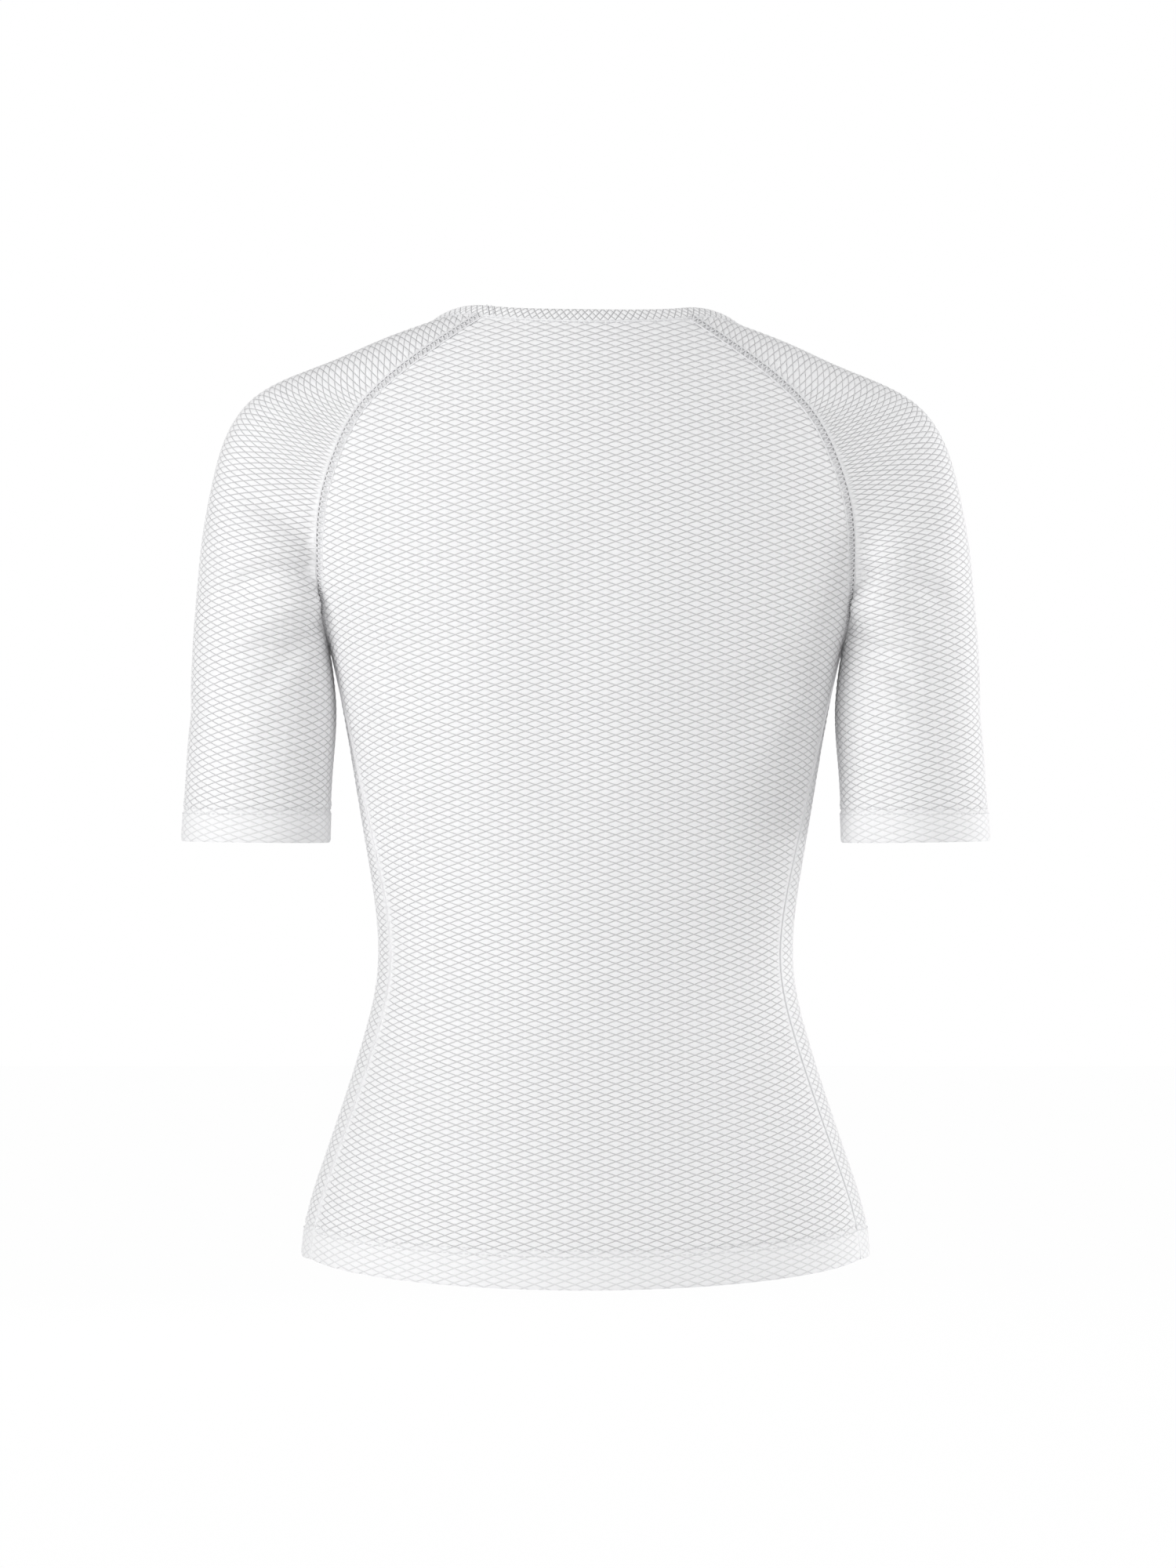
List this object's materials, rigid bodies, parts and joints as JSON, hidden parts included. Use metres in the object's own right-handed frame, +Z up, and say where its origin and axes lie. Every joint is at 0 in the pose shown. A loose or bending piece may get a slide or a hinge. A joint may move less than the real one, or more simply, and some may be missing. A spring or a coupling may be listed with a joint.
{
  "type": "base layer top",
  "caption": "Close-fitting short-sleeved base layer in a white lens-mesh knit, with raglan sleeves and a narrow crew neckband, shown worn with no wearer.",
  "frame": {"origin": "inside the neck opening, at its centre and level with the tops of the shoulders, where the wearer's shoulders and neck carry the garment", "axes": "+Z up the body, +X towards the wearer's left, and the wearer faces -Y"},
  "size_m": [0.4748, 0.2255, 0.5646],
  "materials": {
    "mesh_knit": "soft white polyester knit with a relief of small lens-shaped cells",
    "neck_binding": "the same white knit, folded into a narrow band"
  },
  "bodies": {
    "root": {"back_panel": "mesh_knit", "front_panel": "mesh_knit", "left_sleeve": "mesh_knit", "right_sleeve": "mesh_knit", "neckband": "neck_binding"}
  },
  "joints": []
}
